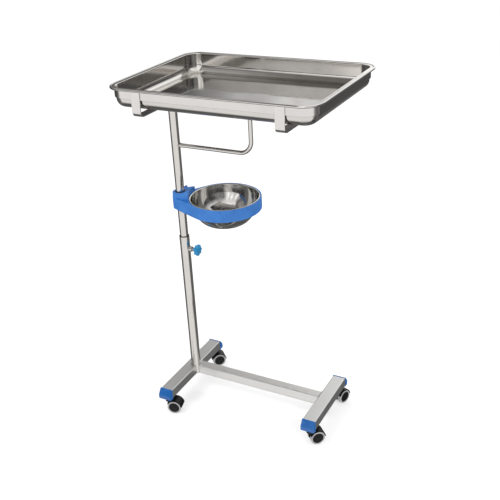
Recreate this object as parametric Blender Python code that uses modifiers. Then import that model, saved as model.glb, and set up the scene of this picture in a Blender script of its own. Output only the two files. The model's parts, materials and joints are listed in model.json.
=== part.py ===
"""Instrument stand for a clinic: H base on casters, telescoping column, cradled tray, bowl in a ring.

Metres, +Z up, the floor at z = 0. The origin is on the floor under the middle of the tray. The column
stands at the -X side, and the user stands on the -Y side.
"""

import math

import bmesh
import bpy
from mathutils import Matrix, Vector

GAP = 0.0003  # clearance left between neighbouring pieces

# Base
COLUMN_X = -0.230
LEFT_BAR_X = COLUMN_X - 0.012
RIGHT_BAR_X = 0.220
BAR_BOTTOM = 0.058
BAR_HEIGHT = 0.030
BAR_TOP = BAR_BOTTOM + BAR_HEIGHT
BAR_MIDDLE = BAR_BOTTOM + BAR_HEIGHT / 2
BAR_WALL = 0.0015
BAR_CORNER = 0.003
CROSSBAR_WIDTH = 0.040
SPINE_WIDTH = 0.030
SPINE_Y = 0.008
BARS = (  # side, x, near end's y, far end's y
    ("left", LEFT_BAR_X, -0.157, 0.141),
    ("right", RIGHT_BAR_X, -0.119, 0.113),
)
CAP_DEPTH = 0.016
CAP_LIP = 0.0008
CAP_PLUG = 0.004
CAP_SLOPE = 0.013  # how far the head's ridge stands out from its upper edge
CAP_ROUNDING = 0.0012

# Casters
STEM_INSET = 0.0125
STEM_RADIUS = 0.005
SOCKET_RADIUS = 0.008
WHEEL_RADIUS = 0.0215
CORE_RADIUS = 0.0165
WHEEL_INNER = 0.0043
WHEEL_OUTER = 0.0175
AXLE_RADIUS = 0.003
TRAIL = 0.0155
WHEEL_ROOM = 0.0007  # between a tread and the hood over it
HOOD_WALL = 0.0026
HOOD_WEB = 0.0036  # half its thickness
HOOD_BOTTOM = 0.0387  # of the boss round the stem
STEM_BOTTOM = 0.0460
YAWS = {  # which way each caster trails, in degrees from +X
    "left_near": 15,
    "left_far": 45,
    "right_near": 45,
    "right_far": 70,
}

# Column and mast
COLUMN_RADIUS = 0.015
COLUMN_BORE = 0.0138
COLUMN_TOP = 0.545
MAST_RADIUS = 0.0125
MAST_BORE = 0.0113
MAST_FOOT = 0.338
MAST_TOP = 0.9664

# Lock screw on the column, and the clamp screw on the bowl's ring
LOCK_Z = 0.504
STUD_RADIUS = 0.004
SCREW_BORE = 0.0046
PAD_RADIUS = 0.0042
BOSS_RADIUS = 0.008
KNOB_RADIUS = 0.0155
KNOB_WAVE = 0.0022
KNOB_LOBES = 7
KNOB_NECK = 0.0055
KNOB_NECK_RADIUS = 0.0070
KNOB_SOCKET = 0.0115  # depth of the hole for the stud
STUD_IN_KNOB = 0.011
KNOB_GRIP = 0.0135
LOCK_KNOB_START = 0.0310
CLAMP_KNOB_START = 0.0440

# Cradle and tray
TRAY_HALF_X = 0.295
TRAY_HALF_Y = 0.215
TRAY_CORNER = 0.050
TRAY_TOP = 1.043
TRAY_DEPTH = 0.0555
SHEET = 0.001
BEAD_RADIUS = 0.0032
WALL_INSET = 0.0145
TRAY_FILLET = 0.022
BAND_INSET = 0.011
BAND_THICKNESS = 0.003
BAND_TOP = 1.0392
BAND_HEIGHT = 0.025
STRAP_X = 0.200
STRAP_WIDTH = 0.026
STRAP_BOTTOM = 0.970
STRAP_BEND = 0.014
FLAT_THICKNESS = 0.003
MEMBER_WIDTH = 0.025
BRACE_Z = 0.829
BRACE_RADIUS = 0.006
BRACE_X = 0.012
BRACE_BEND = 0.036

# Bowl and its ring
HOLDER_YAW = math.radians(18)
RING_REACH = 0.130
RING_BORE = 0.1000
RING_SEAT = 0.1042
RING_RADIUS = 0.1080
RING_BOTTOM = 0.638
RING_TOP = 0.6735
SEAT_DEPTH = 0.0032
COLLAR_RADIUS = 0.0235
COLLAR_TOP = 0.688
LINER_RADIUS = 0.0155
LINER_BORE = 0.0128
BLOCK_REACH = 0.040
BLOCK_RADIUS = 0.041
CLAMP_BOSS_RADIUS = 0.0085
CLAMP_BOSS_END = 0.041
CLAMP_Z = 0.666
BOWL_RIM = 0.1037
BOWL_TOP = 0.6739
BOWL_SHEET = 0.0008
BOWL_DEPTH = 0.082
BOWL_MOUTH = 0.0990
BOWL_FOOT = 0.036

ROUND_STEPS = 28


def clear_scene():
    for obj in list(bpy.data.objects):
        bpy.data.objects.remove(obj)


def new_collection(name):
    collection = bpy.data.collections.new(name)
    bpy.context.scene.collection.children.link(collection)
    return collection


def material(name, colour, metallic, roughness):
    made = bpy.data.materials.new(name)
    made.use_nodes = True
    shader = made.node_tree.nodes["Principled BSDF"]
    shader.inputs["Base Color"].default_value = (*colour, 1)
    shader.inputs["Metallic"].default_value = metallic
    shader.inputs["Roughness"].default_value = roughness
    return made


clear_scene()
PARTS = new_collection("instrument_stand")
CUTTERS = new_collection("cutters")
CUTTERS.hide_render = True

POLISHED = material("polished_steel", (0.62, 0.60, 0.57), 1.0, 0.14)
BRUSHED = material("brushed_steel", (0.60, 0.60, 0.58), 1.0, 0.34)
BLUE_CAP = material("blue_cap_plastic", (0.012, 0.135, 0.46), 0.0, 0.32)
BLUE_RING = material("blue_ring_plastic", (0.045, 0.19, 0.58), 0.0, 0.38)
BLUE_KNOB = material("blue_knob_plastic", (0.013, 0.27, 0.52), 0.0, 0.30)
BLACK = material("black_nylon", (0.008, 0.008, 0.009), 0.0, 0.42)
GREY_RUBBER = material("grey_tread_rubber", (0.30, 0.30, 0.30), 0.0, 0.60)
DARK_BUSH = material("dark_bush_nylon", (0.02, 0.02, 0.022), 0.0, 0.50)
ZINC = material("zinc_plated_steel", (0.55, 0.56, 0.57), 1.0, 0.30)


def place(obj, name, look, location=(0, 0, 0), rotation=(0, 0, 0)):
    """Names a piece, gives it its material and puts it in the object's collection."""
    obj.name = name
    obj.data.materials.clear()
    obj.data.materials.append(look)
    obj.location = location
    obj.rotation_euler = rotation
    PARTS.objects.link(obj)
    return obj


def cutter(obj, location=(0, 0, 0), rotation=(0, 0, 0)):
    obj.location = location
    obj.rotation_euler = rotation
    obj.hide_render = True
    obj.display_type = "WIRE"
    CUTTERS.objects.link(obj)
    return obj


def combine(obj, other, operation="DIFFERENCE"):
    step = obj.modifiers.new(operation.lower(), "BOOLEAN")
    step.operation = operation
    step.solver = "EXACT"
    step.object = other
    return obj


def round_edges(obj, width, segments=2, angle=30):
    step = obj.modifiers.new("rounding", "BEVEL")
    step.width = width
    step.segments = segments
    step.limit_method = "ANGLE"
    step.angle_limit = math.radians(angle)
    return obj


def smooth(obj, angle=35):
    obj.data.shade_smooth()
    obj.data.set_sharp_from_angle(angle=math.radians(angle))
    return obj


def baked_mesh(obj):
    """The mesh that an object's modifiers make, so that repeated pieces can share it."""
    bpy.context.view_layer.update()
    graph = bpy.context.evaluated_depsgraph_get()
    return bpy.data.meshes.new_from_object(obj.evaluated_get(graph))


def outline_solid(loops, half_depth, rounding=0.0):
    """Closed outlines in XY, filled between them and extruded both ways along Z."""
    work = bmesh.new()
    edges = []
    for loop in loops:
        points = [work.verts.new((x, y, -half_depth)) for x, y in loop]
        edges += [work.edges.new(pair) for pair in zip(points, points[1:] + points[:1])]
    bmesh.ops.triangle_fill(work, use_beauty=True, edges=edges)
    lifted = bmesh.ops.extrude_face_region(work, geom=list(work.faces))
    moved = [item for item in lifted["geom"] if isinstance(item, bmesh.types.BMVert)]
    bmesh.ops.translate(work, vec=(0, 0, 2 * half_depth), verts=moved)
    bmesh.ops.dissolve_limit(work, angle_limit=0.001, verts=work.verts, edges=work.edges)
    bmesh.ops.recalc_face_normals(work, faces=work.faces)
    mesh = bpy.data.meshes.new("outline")
    work.to_mesh(mesh)
    work.free()
    obj = bpy.data.objects.new("outline", mesh)
    return round_edges(obj, rounding) if rounding else obj


def lathe(profile, steps=ROUND_STEPS, angle=35):
    """Turns (radius, height) points about Z. The profile is closed unless it starts and ends on the axis."""
    area = sum(a[0] * b[1] - b[0] * a[1] for a, b in zip(profile, profile[1:] + profile[:1]))
    points = list(profile) if area < 0 else list(reversed(profile))
    on_axis = profile[0][0] == 0 and profile[-1][0] == 0
    if on_axis and points[0][1] < points[-1][1]:
        points.reverse()
    edges = [(i, i + 1) for i in range(len(points) - 1)]
    if not on_axis:
        edges.append((len(points) - 1, 0))
    mesh = bpy.data.meshes.new("profile")
    mesh.from_pydata([(r, 0, z) for r, z in points], edges, [])
    obj = bpy.data.objects.new("turned", mesh)
    turn = obj.modifiers.new("turn", "SCREW")
    turn.steps = steps
    turn.render_steps = steps
    turn.use_merge_vertices = True
    turn.merge_threshold = 0.00001
    turned = bpy.data.objects.new("turned", lathe_mesh(obj))
    return smooth(turned, angle)


def lathe_mesh(obj):
    bpy.context.scene.collection.objects.link(obj)
    mesh = baked_mesh(obj)
    bpy.data.objects.remove(obj)
    return mesh


def cylinder(radius, bottom, top, steps=ROUND_STEPS):
    return lathe([(0, top), (radius, top), (radius, bottom), (0, bottom)], steps)


def tube(outer, bore, bottom, top, steps=ROUND_STEPS):
    return lathe([(bore, top), (outer, top), (outer, bottom), (bore, bottom)], steps)


def box(size, centre=(0, 0, 0)):
    x, y, z = (side / 2 for side in size)
    loop = [(-x, -y), (x, -y), (x, y), (-x, y)]
    obj = outline_solid([loop], z)
    obj.data.transform(Matrix.Translation(Vector(centre)))
    return obj


def rounded_rectangle(half_x, half_y, radius, corner_steps=4):
    """Points of a rounded rectangle, anticlockwise."""
    points = []
    for quarter, (sx, sy) in enumerate(((1, 1), (-1, 1), (-1, -1), (1, -1))):
        for step in range(corner_steps + 1):
            turn = (quarter + step / corner_steps) * math.pi / 2
            x = sx * (half_x - radius) + radius * math.cos(turn)
            y = sy * (half_y - radius) + radius * math.sin(turn)
            points.append((x, y))
    return points


# Base


def rectangular_tube(width, length):
    """A tube of rectangular section along Y."""
    outer = rounded_rectangle(width / 2, BAR_HEIGHT / 2, BAR_CORNER, 3)
    inner = rounded_rectangle(width / 2 - BAR_WALL, BAR_HEIGHT / 2 - BAR_WALL, BAR_CORNER - BAR_WALL, 3)
    obj = outline_solid([outer, inner], length / 2)
    obj.data.transform(Matrix.Rotation(math.pi / 2, 4, "X"))
    return smooth(obj)


def crossbar(side, x, near, far):
    """A bar of the base along Y, with a round hole under each end for a caster's socket."""
    name = f"{side}_crossbar"
    centre = (x, (near + far) / 2, BAR_MIDDLE)
    bar = place(rectangular_tube(CROSSBAR_WIDTH, far - near), name, BRUSHED, centre)
    for y in (near + STEM_INSET, far - STEM_INSET):
        hole = cutter(cylinder(SOCKET_RADIUS + GAP, -0.01, 0.01), (x, y, BAR_BOTTOM))
        combine(bar, hole)
    if side == "left":
        let_in(bar)


def let_in(bar):
    """The bar is hollowed where the column's foot is let into it."""
    notch = cylinder(COLUMN_RADIUS + GAP, BAR_BOTTOM - 0.01, BAR_TOP + 0.01, 48)
    combine(bar, cutter(notch, (COLUMN_X, 0, 0)))


def spine():
    start = LEFT_BAR_X + CROSSBAR_WIDTH / 2 + GAP
    end = RIGHT_BAR_X - CROSSBAR_WIDTH / 2 - GAP
    turned = (0, 0, -math.pi / 2)
    bar = rectangular_tube(SPINE_WIDTH, end - start)
    place(bar, "spine_bar", BRUSHED, ((start + end) / 2, SPINE_Y, BAR_MIDDLE), turned)
    let_in(bar)


def cap_mesh():
    """An end cap: a plug inside the bar, and a head whose face slopes down and outwards to a ridge."""
    half = BAR_HEIGHT / 2 + CAP_LIP
    brow, ridge = CAP_DEPTH - CAP_SLOPE, -0.002
    side = [(0, -half), (CAP_DEPTH - 0.0015, -half), (CAP_DEPTH, ridge), (brow, half), (0, half)]
    head = outline_solid([side], CROSSBAR_WIDTH / 2 + CAP_LIP)
    round_edges(head, CAP_ROUNDING)
    upright = Matrix.Rotation(-math.pi / 2, 4, "Z") @ Matrix.Rotation(math.pi / 2, 4, "X")
    head.data.transform(upright)
    head.data.transform(Matrix.Translation((0, -GAP, 0)))
    room = BAR_WALL + 2 * GAP
    plug = box(
        (CROSSBAR_WIDTH - 2 * room, CAP_PLUG + 0.002, BAR_HEIGHT - 2 * room), (0, CAP_PLUG / 2 - 0.001, 0)
    )
    bpy.context.scene.collection.objects.link(head)
    bpy.context.scene.collection.objects.link(plug)
    combine(head, plug, "UNION")
    mesh = baked_mesh(head)
    bpy.data.objects.remove(head)
    bpy.data.objects.remove(plug)
    return mesh


def end_caps():
    mesh = cap_mesh()
    for bar, x, near, far in BARS:
        for end, y, turn in (("near", near, 0), ("far", far, math.pi)):
            obj = bpy.data.objects.new("cap", mesh)
            place(obj, f"cap_{bar}_{end}", BLUE_CAP, (x, y, BAR_MIDDLE), (0, 0, turn))
            smooth(obj)


# Casters


def about_hub(obj):
    """Turns a shape made about Z so that it lies on a caster's axle, with the stem on Z."""
    obj.data.transform(Matrix.Rotation(math.pi / 2, 4, "X"))
    obj.data.transform(Matrix.Translation((TRAIL, 0, WHEEL_RADIUS)))
    return obj


def hood_mesh():
    """A caster's body: a web between the wheels, a fender over them and a boss round the stem."""
    top = BAR_BOTTOM - GAP - 0.0005
    room = WHEEL_RADIUS + WHEEL_ROOM
    side = [(0, top), (0.0100, top), (0.0115, top - 0.004), (0.0142, HOOD_BOTTOM), (0, HOOD_BOTTOM)]
    boss = lathe(side, 20)
    fender = about_hub(outline_solid([arc_band(room + 0.0002, room + HOOD_WALL, 6, 152)], WHEEL_OUTER))
    foot_x, foot_z = 0.76 * WHEEL_RADIUS, -0.40 * WHEEL_RADIUS
    arc = arc_band(0, room + HOOD_WALL / 2, 0, 180)
    web = about_hub(outline_solid([arc + [(-foot_x, foot_z), (foot_x, foot_z)]], HOOD_WEB))
    wheels = about_hub(cylinder(room, -WHEEL_OUTER - 0.01, WHEEL_OUTER + 0.01))
    bore = cylinder(STEM_RADIUS + GAP, STEM_BOTTOM - 0.0005, BAR_BOTTOM + 0.01)
    axle_hole = about_hub(cylinder(AXLE_RADIUS + GAP, -0.01, 0.01, 12))
    shapes = (boss, fender, web, wheels, bore, axle_hole)
    for shape in shapes:
        bpy.context.scene.collection.objects.link(shape)
    combine(boss, wheels)
    combine(boss, fender, "UNION")
    combine(boss, web, "UNION")
    combine(boss, bore)
    combine(boss, axle_hole)
    mesh = baked_mesh(boss)
    for shape in shapes:
        bpy.data.objects.remove(shape)
    return mesh


def arc_band(inner, outer, start, end, steps=9):
    """Points round a band between two radii, from one angle in degrees to another."""
    turns = [math.radians(start + (end - start) * i / steps) for i in range(steps + 1)]
    points = [(outer * math.cos(t), outer * math.sin(t)) for t in turns]
    if inner:
        points += [(inner * math.cos(t), inner * math.sin(t)) for t in reversed(turns)]
    return points


def core_mesh():
    """A wheel's core about Z: a blind bore for the axle, a domed outer face with a stepped rim."""
    inner, outer, bore = WHEEL_INNER, WHEEL_OUTER, AXLE_RADIUS + GAP
    profile = [
        (0, outer), (0.0126, outer - 0.0008), (0.0137, outer - 0.0020), (0.0150, outer - 0.0008),
        (CORE_RADIUS, outer - 0.0012), (CORE_RADIUS, inner), (bore, inner), (bore, outer - 0.004),
        (0, outer - 0.004),
    ]
    return lathe(profile, 16).data


def tread_mesh():
    inner, outer, low = WHEEL_INNER + 0.0008, WHEEL_OUTER - 0.0006, CORE_RADIUS + GAP
    profile = [
        (low, outer), (WHEEL_RADIUS - 0.0014, outer), (WHEEL_RADIUS, outer - 0.0020),
        (WHEEL_RADIUS, inner + 0.0014), (WHEEL_RADIUS - 0.0014, inner), (low, inner),
    ]
    return lathe(profile, 24).data


def stem_mesh():
    top = BAR_TOP - BAR_WALL - 0.004
    profile = [
        (0, top), (STEM_RADIUS - 0.001, top), (STEM_RADIUS, top - 0.001), (STEM_RADIUS, STEM_BOTTOM),
        (0, STEM_BOTTOM),
    ]
    return lathe(profile, 16).data


def shared(mesh, name, look, location, rotation=(0, 0, 0)):
    return smooth(place(bpy.data.objects.new("piece", mesh), name, look, location, rotation))


def casters():
    hood, core, tread, stem = hood_mesh(), core_mesh(), tread_mesh(), stem_mesh()
    axle = cylinder(AXLE_RADIUS, -WHEEL_OUTER + 0.0043, WHEEL_OUTER - 0.0043, 12).data
    socket_top = BAR_TOP - BAR_WALL - 0.0005
    socket = tube(SOCKET_RADIUS, STEM_RADIUS + GAP, BAR_BOTTOM - 0.0004, socket_top, 16).data
    for bar, x, near, far in BARS:
        for end, y in (("near", near + STEM_INSET), ("far", far - STEM_INSET)):
            tag = f"{bar}_{end}"
            yaw = math.radians(YAWS[tag])
            stem_at = (x, y, 0)
            hub = (x + TRAIL * math.cos(yaw), y + TRAIL * math.sin(yaw), WHEEL_RADIUS)
            shared(socket, f"socket_{tag}", ZINC, stem_at)
            shared(stem, f"stem_{tag}", ZINC, stem_at, (0, 0, yaw))
            shared(hood, f"hood_{tag}", BLACK, stem_at, (0, 0, yaw))
            shared(axle, f"axle_{tag}", ZINC, hub, (math.pi / 2, 0, yaw))
            for wheel, turn in (("a", math.pi / 2), ("b", -math.pi / 2)):
                shared(core, f"core_{tag}_{wheel}", BLACK, hub, (turn, 0, yaw))
                shared(tread, f"tread_{tag}_{wheel}", GREY_RUBBER, hub, (turn, 0, yaw))


# Column


def column():
    """The outer tube stands in the inner corner of the base, its foot level with the bars' underside."""
    obj = tube(COLUMN_RADIUS, COLUMN_BORE, BAR_BOTTOM, COLUMN_TOP)
    place(obj, "column_tube", POLISHED, (COLUMN_X, 0, 0))
    hole = cutter(cylinder(SCREW_BORE, 0, 0.03, 20), (COLUMN_X, 0, LOCK_Z), (0, math.pi / 2, 0))
    combine(obj, hole)
    boss = tube(BOSS_RADIUS, SCREW_BORE, 0.010, 0.0245, 24)
    place(boss, "lock_boss", POLISHED, (COLUMN_X, 0, LOCK_Z), (0, math.pi / 2, 0))
    wall = cutter(cylinder(COLUMN_RADIUS + GAP, LOCK_Z - 0.02, LOCK_Z + 0.02), (COLUMN_X, 0, 0))
    combine(boss, wall)
    bush = lathe(
        [
            (0.0128, COLUMN_TOP + 0.0016), (0.0147, COLUMN_TOP + 0.0016), (0.0150, COLUMN_TOP + 0.0013),
            (0.0150, COLUMN_TOP + GAP), (0.0135, COLUMN_TOP + GAP), (0.0135, COLUMN_TOP - 0.030),
            (0.0128, COLUMN_TOP - 0.030),
        ]
    )
    place(bush, "guide_bush", DARK_BUSH, (COLUMN_X, 0, 0))


def mast():
    place(tube(MAST_RADIUS, MAST_BORE, MAST_FOOT, MAST_TOP), "mast_tube", POLISHED, (COLUMN_X, 0, 0))
    rim, spigot = 0.0134, MAST_BORE - GAP
    plug = lathe(
        [
            (0, MAST_FOOT + 0.016), (spigot - 0.001, MAST_FOOT + 0.016), (spigot, MAST_FOOT + 0.014),
            (spigot, MAST_FOOT - GAP), (rim, MAST_FOOT - GAP), (rim, MAST_FOOT - 0.014),
            (rim - 0.001, MAST_FOOT - 0.015), (0, MAST_FOOT - 0.015),
        ]
    )
    place(plug, "guide_plug", DARK_BUSH, (COLUMN_X, 0, 0))


def wavy_outline(radius, wave, lobes, points_per_lobe=4):
    count = lobes * points_per_lobe
    loop = []
    for i in range(count):
        turn = 2 * math.pi * i / count
        r = radius + wave * math.cos(lobes * turn)
        loop.append((r * math.cos(turn), r * math.sin(turn)))
    return loop


def knob_mesh():
    """A lobed knob about Z: a neck from z = 0, then the grip, with a blind hole for the stud."""
    outline = wavy_outline(KNOB_RADIUS, KNOB_WAVE, KNOB_LOBES)
    grip = round_edges(outline_solid([outline], KNOB_GRIP / 2), 0.0016, 1)
    grip.data.transform(Matrix.Translation((0, 0, KNOB_NECK + KNOB_GRIP / 2)))
    neck = cylinder(KNOB_NECK_RADIUS, 0, KNOB_NECK + KNOB_GRIP / 3, 24)
    hole = cylinder(STUD_RADIUS + GAP, -0.01, KNOB_SOCKET, 20)
    for shape in (grip, neck, hole):
        bpy.context.scene.collection.objects.link(shape)
    combine(grip, neck, "UNION")
    combine(grip, hole)
    mesh = baked_mesh(grip)
    for shape in (grip, neck, hole):
        bpy.data.objects.remove(shape)
    return mesh


def lock_screw(knob):
    """The knob, its stud and the pad that presses on the mast, along +X from the column's axis."""
    at, along = (COLUMN_X, 0, LOCK_Z), (0, math.pi / 2, 0)
    place(cylinder(PAD_RADIUS, MAST_RADIUS + 0.0005, 0.0170, 20), "lock_pad", DARK_BUSH, at, along)
    place(cylinder(STUD_RADIUS, 0.0173, LOCK_KNOB_START + STUD_IN_KNOB, 20), "lock_stud", ZINC, at, along)
    shared(knob, "lock_knob", BLUE_KNOB, (COLUMN_X + LOCK_KNOB_START, 0, LOCK_Z), along)


# Cradle


def ring_band():
    half_x, half_y, corner = TRAY_HALF_X - BAND_INSET, TRAY_HALF_Y - BAND_INSET, TRAY_CORNER - BAND_INSET
    outer = rounded_rectangle(half_x, half_y, corner, 8)
    inner = rounded_rectangle(
        half_x - BAND_THICKNESS, half_y - BAND_THICKNESS, corner - BAND_THICKNESS, 8
    )
    obj = outline_solid([outer, inner], BAND_HEIGHT / 2)
    place(smooth(obj), "cradle_ring", POLISHED, (0, 0, BAND_TOP - BAND_HEIGHT / 2))


def strap_outline():
    """Side view of a strap: flat under the tray, turned up at both ends against the ring's outer side."""
    half = TRAY_HALF_Y - BAND_INSET + GAP + FLAT_THICKNESS
    top = BAND_TOP - 0.003
    outer = [(half, top)]
    inner = [(half - FLAT_THICKNESS, top)]
    centre_y, centre_z = half - STRAP_BEND, STRAP_BOTTOM + STRAP_BEND
    for step in range(7):
        turn = math.radians(15 * step)
        for line, radius in ((outer, STRAP_BEND), (inner, STRAP_BEND - FLAT_THICKNESS)):
            line.append((centre_y + radius * math.cos(turn), centre_z - radius * math.sin(turn)))
    half_loop = inner[::-1] + outer
    mirrored = [(-y, z) for y, z in outer[::-1]] + [(-y, z) for y, z in inner]
    return half_loop + mirrored


def straps():
    for name, x in (("strap_left", -STRAP_X), ("strap_right", STRAP_X)):
        obj = outline_solid([strap_outline()], STRAP_WIDTH / 2)
        place(smooth(obj, 30), name, POLISHED, (x, 0, 0), (math.pi / 2, 0, math.pi / 2))


def cross_member():
    start, end = COLUMN_X - 0.016, STRAP_X + STRAP_WIDTH / 2 + 0.003
    top = STRAP_BOTTOM - GAP
    outline = rounded_rectangle((end - start) / 2, MEMBER_WIDTH / 2, 0.008, 4)
    obj = outline_solid([outline], FLAT_THICKNESS / 2)
    place(smooth(obj), "cross_member", POLISHED, ((start + end) / 2, 0, top - FLAT_THICKNESS / 2))


def brace():
    """A round rod from the mast to the cross member, with one bend."""
    points = [(COLUMN_X + MAST_RADIUS + GAP, BRACE_Z)]
    centre_x, centre_z = BRACE_X - BRACE_BEND, BRACE_Z + BRACE_BEND
    for step in range(9):
        turn = math.pi / 2 * step / 8
        points.append((centre_x + BRACE_BEND * math.sin(turn), centre_z - BRACE_BEND * math.cos(turn)))
    points.append((BRACE_X, MAST_TOP))
    curve = bpy.data.curves.new("brace", "CURVE")
    curve.dimensions = "3D"
    curve.bevel_depth = BRACE_RADIUS
    curve.bevel_resolution = 3
    curve.use_fill_caps = True
    spline = curve.splines.new("POLY")
    spline.points.add(len(points) - 1)
    for point, (x, z) in zip(spline.points, points):
        point.co = (x, 0, z, 1)
    rod = bpy.data.objects.new("brace", curve)
    bpy.context.scene.collection.objects.link(rod)
    mesh = baked_mesh(rod)
    bpy.data.objects.remove(rod)
    bpy.data.curves.remove(curve)
    work = bmesh.new()
    work.from_mesh(mesh)
    bmesh.ops.remove_doubles(work, verts=work.verts, dist=0.00001)
    bmesh.ops.recalc_face_normals(work, faces=work.faces)
    work.to_mesh(mesh)
    work.free()
    place(smooth(bpy.data.objects.new("brace", mesh)), "brace_rod", POLISHED)


def tray_section():
    """(inset from the rim's edge, height) round the sheet, from the floor's top side to its underside."""
    under = TRAY_TOP - TRAY_DEPTH
    foot, fillet_z = WALL_INSET + TRAY_FILLET, under + TRAY_FILLET
    inner_fillet = TRAY_FILLET - SHEET
    turns = [math.radians(18 * i) for i in range(6)]
    inside = [(foot - inner_fillet * math.sin(t), fillet_z - inner_fillet * math.cos(t)) for t in turns]
    flange = TRAY_TOP - 0.0010
    inside += [
        (WALL_INSET + SHEET, flange - 0.0026), (WALL_INSET + 0.0002, flange - 0.0008),
        (WALL_INSET - 0.0016, flange), (2 * BEAD_RADIUS, flange),
    ]
    bead_z = TRAY_TOP - BEAD_RADIUS
    bead = []
    for degrees in (60, 100, 140, 180, 220, 260, 310):
        t = math.radians(degrees)
        bead.append((BEAD_RADIUS + BEAD_RADIUS * math.cos(t), bead_z + BEAD_RADIUS * math.sin(t)))
    under_flange = flange - SHEET
    outside = [
        (2 * BEAD_RADIUS + 0.0004, under_flange), (WALL_INSET - 0.0016, under_flange),
        (WALL_INSET, under_flange - 0.0018),
    ]
    outside += [
        (foot - TRAY_FILLET * math.cos(t), fillet_z - TRAY_FILLET * math.sin(t)) for t in turns
    ]
    return inside + bead + outside


def tray():
    """A pressed sheet tray with a rolled rim: its section is carried round a rounded rectangle."""
    section = tray_section()
    vertices, faces = [], []
    for inset, z in section:
        ring = rounded_rectangle(
            TRAY_HALF_X - inset, TRAY_HALF_Y - inset, TRAY_CORNER - inset, 6
        )
        vertices += [(x, y, z) for x, y in ring]
    count = len(vertices) // len(section)
    for level in range(len(section) - 1):
        for i in range(count):
            j = (i + 1) % count
            a, b = level * count, (level + 1) * count
            faces.append((a + i, a + j, b + j, b + i))
    faces.append(tuple(reversed(range(count))))
    last = (len(section) - 1) * count
    faces.append(tuple(range(last, last + count)))
    mesh = bpy.data.meshes.new("tray")
    mesh.from_pydata(vertices, [], [face[::-1] for face in faces])
    place(smooth(bpy.data.objects.new("tray", mesh), 40), "tray", POLISHED)


# Bowl and ring


def turned_about_column(x, y, z):
    """A place given along the ring's own direction, turned about the column."""
    c, s = math.cos(HOLDER_YAW), math.sin(HOLDER_YAW)
    return (COLUMN_X + c * x - s * y, s * x + c * y, z)


def tear_outline(small, large, reach, small_steps, large_steps):
    """Two circles wrapped by their common tangents: one at the column, one at a reach along X."""
    lean = math.asin((large - small) / reach)
    start, end = math.pi / 2 + lean, 3 * math.pi / 2 - lean
    points = []
    for step in range(small_steps + 1):
        turn = start + (end - start) * step / small_steps
        points.append((small * math.cos(turn), small * math.sin(turn)))
    for step in range(large_steps + 1):
        turn = end + (2 * math.pi - (end - start)) * step / large_steps
        points.append((reach + large * math.cos(turn), large * math.sin(turn)))
    return points


def ring_holder():
    """A band round the bowl that runs into a taller block round the column, with a boss for the screw."""
    spot, turned = (COLUMN_X, 0, 0), (0, 0, HOLDER_YAW)
    band = outline_solid(
        [tear_outline(COLLAR_RADIUS, RING_RADIUS, RING_REACH, 10, 38)], (RING_TOP - RING_BOTTOM) / 2
    )
    band.data.transform(Matrix.Translation((0, 0, (RING_TOP + RING_BOTTOM) / 2)))
    ring = place(smooth(band), "ring_holder", BLUE_RING, spot, turned)
    block_bottom = RING_BOTTOM + 0.010
    block_outline = tear_outline(COLLAR_RADIUS - 0.001, BLOCK_RADIUS, BLOCK_REACH, 10, 16)
    block = outline_solid([block_outline], (COLLAR_TOP - block_bottom) / 2)
    block.data.transform(Matrix.Translation((0, 0, (COLLAR_TOP + block_bottom) / 2)))
    block = cutter(block, spot, turned)
    screw_at, screw_turned = (COLUMN_X, 0, CLAMP_Z), (-math.pi / 2, 0, HOLDER_YAW)
    boss = cylinder(CLAMP_BOSS_RADIUS, LINER_RADIUS + 0.0085, CLAMP_BOSS_END, 26)
    boss = cutter(boss, screw_at, screw_turned)
    above, below, seat = COLLAR_TOP + 0.01, RING_BOTTOM - 0.01, RING_TOP - SEAT_DEPTH
    stepped = [
        (0, above), (RING_SEAT, above), (RING_SEAT, seat), (RING_BORE, seat), (RING_BORE, below), (0, below),
    ]
    bowl_room = lathe(stepped, 48)
    bowl_room.data.transform(Matrix.Translation((RING_REACH, 0, 0)))
    bowl_room = cutter(bowl_room, spot, turned)
    bore = cutter(cylinder(LINER_RADIUS + GAP, RING_BOTTOM - 0.02, COLLAR_TOP + 0.02, 40), spot, turned)
    screw = cutter(cylinder(SCREW_BORE, 0.008, 0.06, 22), screw_at, screw_turned)
    for piece in (block, boss):
        combine(ring, piece, "UNION")
    for piece in (screw, bore, bowl_room):
        combine(ring, piece)
    liner = tube(LINER_RADIUS, LINER_BORE, RING_BOTTOM - 0.0015, COLLAR_TOP + 0.0015)
    place(liner, "ring_liner", DARK_BUSH, (COLUMN_X, 0, 0))


def clamp_screw(knob):
    """The ring's clamp screw, on the far side of the column, pressing on the liner."""
    at, along = (COLUMN_X, 0, CLAMP_Z), (-math.pi / 2, 0, HOLDER_YAW)
    place(cylinder(PAD_RADIUS, LINER_RADIUS + 0.0005, 0.0190, 20), "clamp_pad", DARK_BUSH, at, along)
    place(cylinder(STUD_RADIUS, 0.0193, CLAMP_KNOB_START + STUD_IN_KNOB, 20), "clamp_stud", ZINC, at, along)
    shared(knob, "clamp_knob", BLUE_KNOB, turned_about_column(0, CLAMP_KNOB_START, CLAMP_Z), along)


def bowl_outside():
    """(radius, height) down the bowl's outer side, under its lip."""
    depth, top_radius, foot_radius = BOWL_DEPTH, BOWL_MOUTH, BOWL_FOOT
    points = []
    steps = 6
    for step in range(steps + 1):
        t = math.pi / 2 * step / steps
        r = foot_radius + (top_radius - foot_radius) * math.cos(t) ** 0.9
        z = BOWL_TOP - 0.003 - (depth - 0.003) * math.sin(t) ** 1.15
        points.append((r, z))
    return points


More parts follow.
